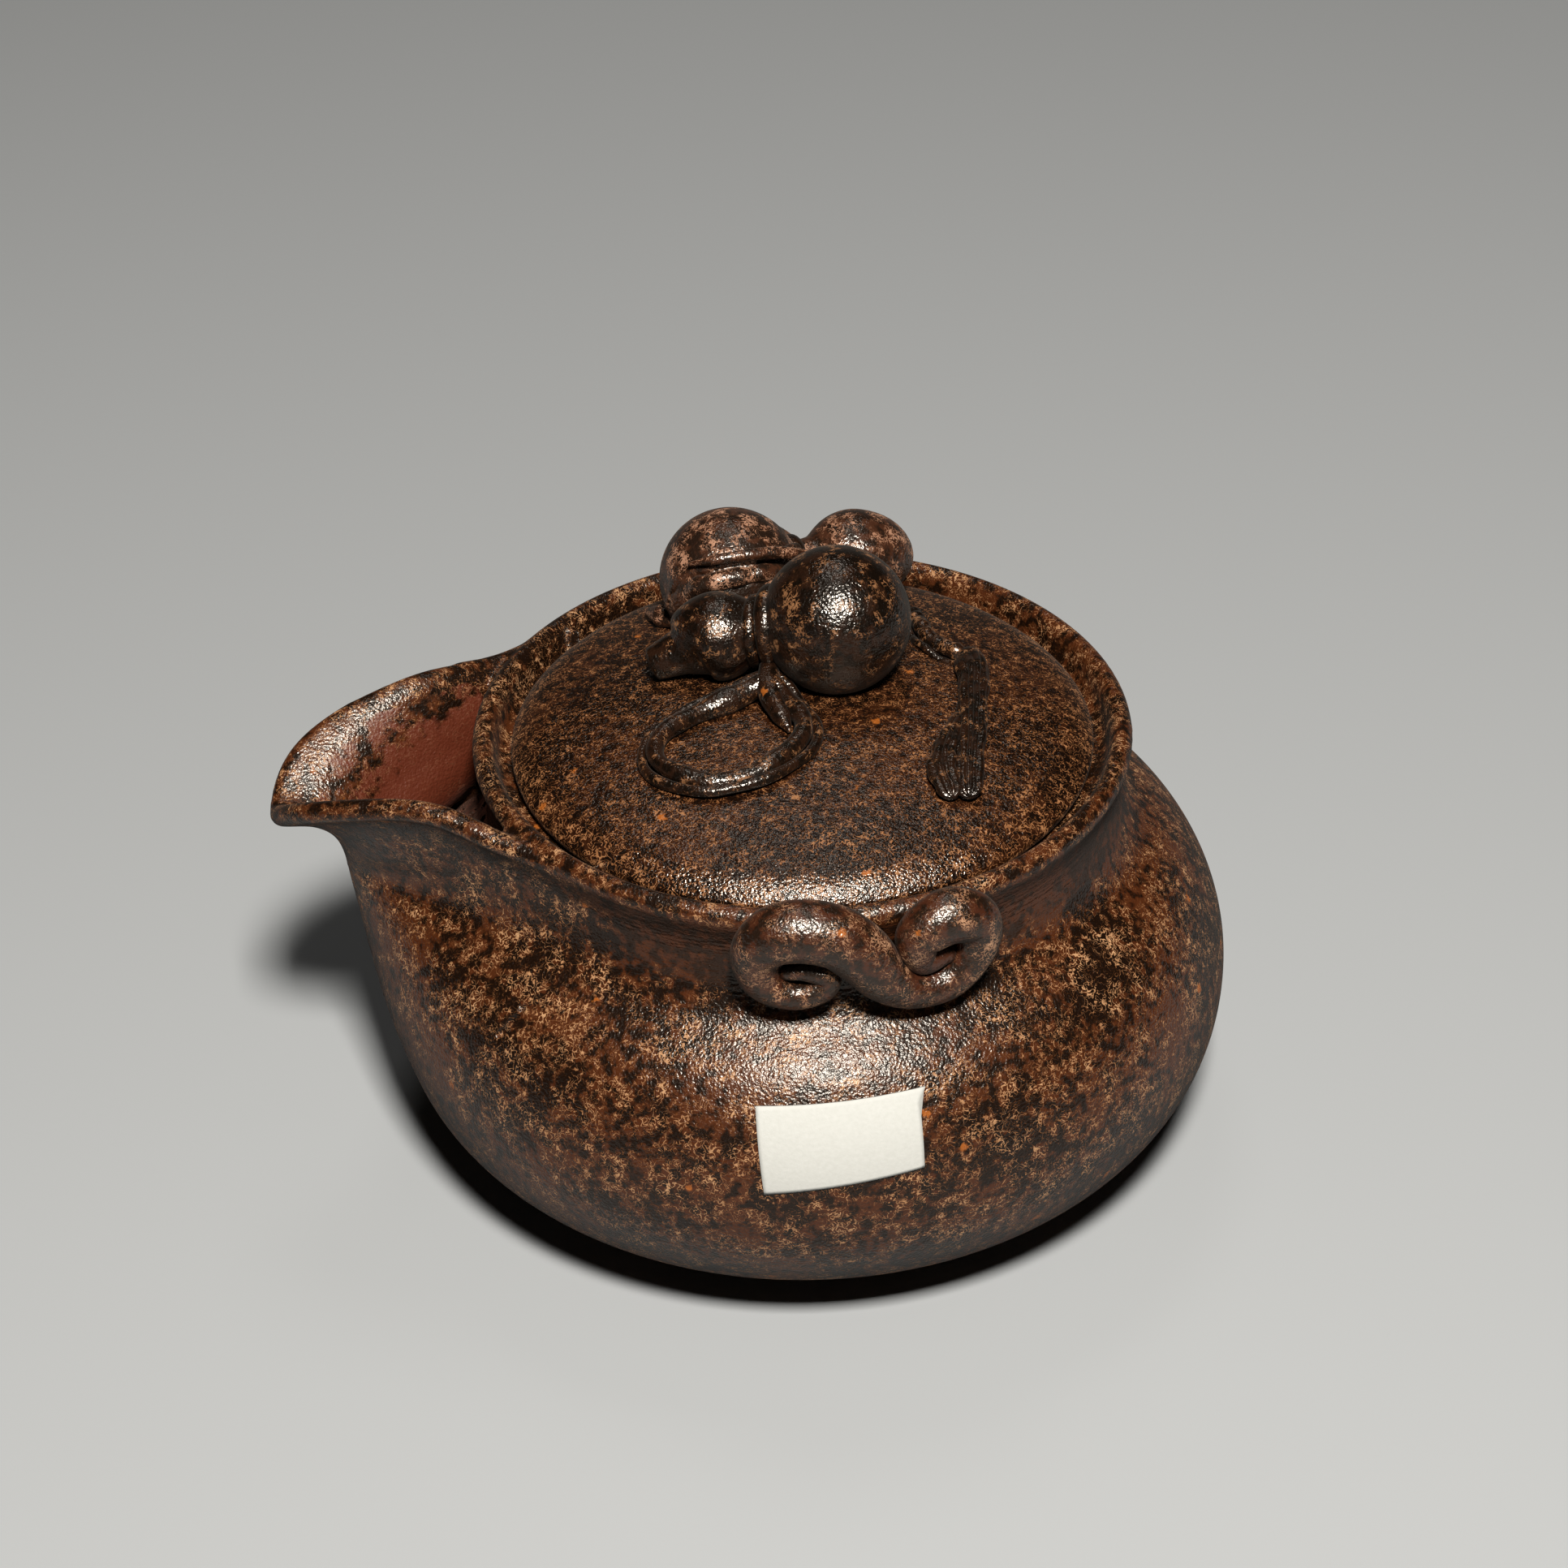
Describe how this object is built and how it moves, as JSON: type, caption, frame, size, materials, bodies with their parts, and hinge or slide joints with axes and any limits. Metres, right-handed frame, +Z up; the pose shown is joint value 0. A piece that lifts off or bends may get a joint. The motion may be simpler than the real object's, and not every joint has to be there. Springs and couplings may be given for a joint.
{
  "type": "handleless pouring teapot",
  "caption": "Small round stoneware teapot with a wide pouring spout, a pierced screen, scroll side grips and a lift-off lid with bottle gourds.",
  "frame": {"origin": "middle of the flat base, where the pot rests", "axes": "+Z up along the bowl's turning axis, spout towards -X, the labelled side and the front grip towards -Y"},
  "size_m": [0.1157, 0.1033, 0.0762],
  "materials": {
    "brown_stoneware": "iron-brown stoneware with fine tan ash mottling and an orange-peel skin",
    "bare_clay": "reddish brown bare fired clay, dry",
    "dark_slip": "near-black brown iron slip, semi-gloss, with rust flecks",
    "label_paper": "plain off-white gummed paper, matt"
  },
  "bodies": {
    "pot": {"thrown_bowl": "brown_stoneware", "pouring_spout": "brown_stoneware", "strainer_screen": "bare_clay", "front_grip": "dark_slip", "rear_grip": "dark_slip", "capacity_label": "label_paper"},
    "lid": {"lid_plate": "brown_stoneware", "front_gourd": "dark_slip", "rear_gourd": "dark_slip", "front_waist_cord": "dark_slip", "rear_waist_cord": "dark_slip", "front_cord_loop": "dark_slip", "front_cord_knot": "dark_slip", "rear_cord_strands": "dark_slip", "rear_single_strand": "dark_slip", "rear_tassel_tip": "dark_slip", "side_cord": "dark_slip", "side_tassel": "dark_slip", "side_tassel_curl": "dark_slip"}
  },
  "joints": [
    {"name": "lid_lift", "type": "slide", "parent": "pot", "child": "lid", "axis": [0, 0, 1], "range_m": [0, 0.05]}
  ]
}
